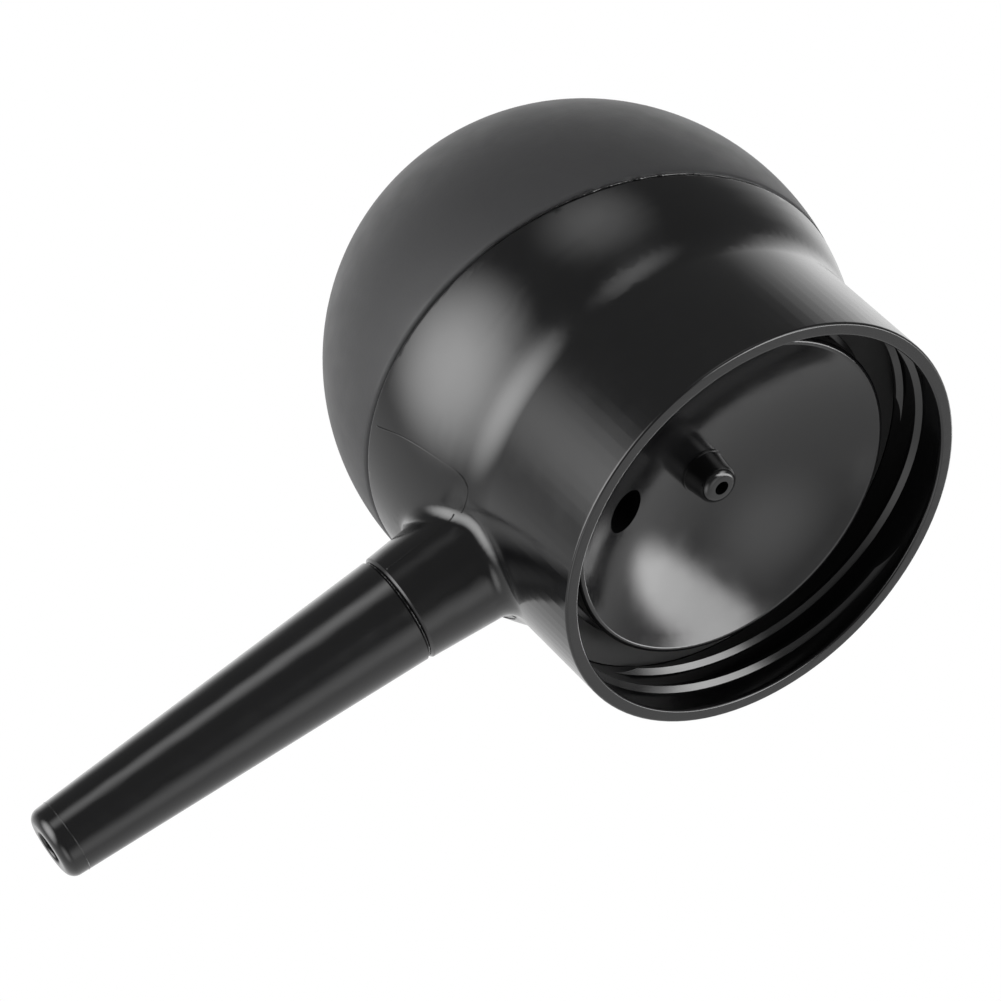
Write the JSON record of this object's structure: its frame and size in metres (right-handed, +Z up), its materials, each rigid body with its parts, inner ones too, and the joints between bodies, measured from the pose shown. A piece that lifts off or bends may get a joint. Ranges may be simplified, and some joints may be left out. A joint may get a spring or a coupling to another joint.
{
  "type": "squeeze pump spray head",
  "caption": "Screw-on squeeze pump head: soft bulb over a threaded collar, dished partition with air jet, and a tapered push-on side nozzle",
  "frame": {"origin": "Centre of the collar's rim, on the plane that the head stands on.", "axes": "+Z runs up the collar's axis to the bulb, +X runs along the nozzle to its outlet, +Y completes the right-handed set."},
  "size_m": [0.1104, 0.0588, 0.0641],
  "materials": {
    "gloss_black": "polished black moulding",
    "bulb_rubber": "soft matte black",
    "inner_black": "plain black moulding",
    "gasket_rubber": "soft seal"
  },
  "bodies": {
    "head": {"body_shell": "gloss_black", "bulb_retaining_ring": "inner_black", "partition_dish": "gloss_black", "air_jet": "gloss_black", "fibre_duct": "inner_black", "neck_gasket": "gasket_rubber"},
    "bulb_dome": {"bulb": "bulb_rubber"},
    "nozzle": {"nozzle_tube": "gloss_black"}
  },
  "joints": [
    {"name": "bulb_squeeze", "type": "slide", "parent": "head", "child": "bulb_dome", "axis": [0.1564, 0, -0.9877], "range_m": [0, 0.016], "stiffness_N_per_m": 300, "deforming": ["bulb"]},
    {"name": "nozzle_pull", "type": "slide", "parent": "head", "child": "nozzle", "axis": [1, 0, 0], "range_m": [0, 0.01]}
  ]
}
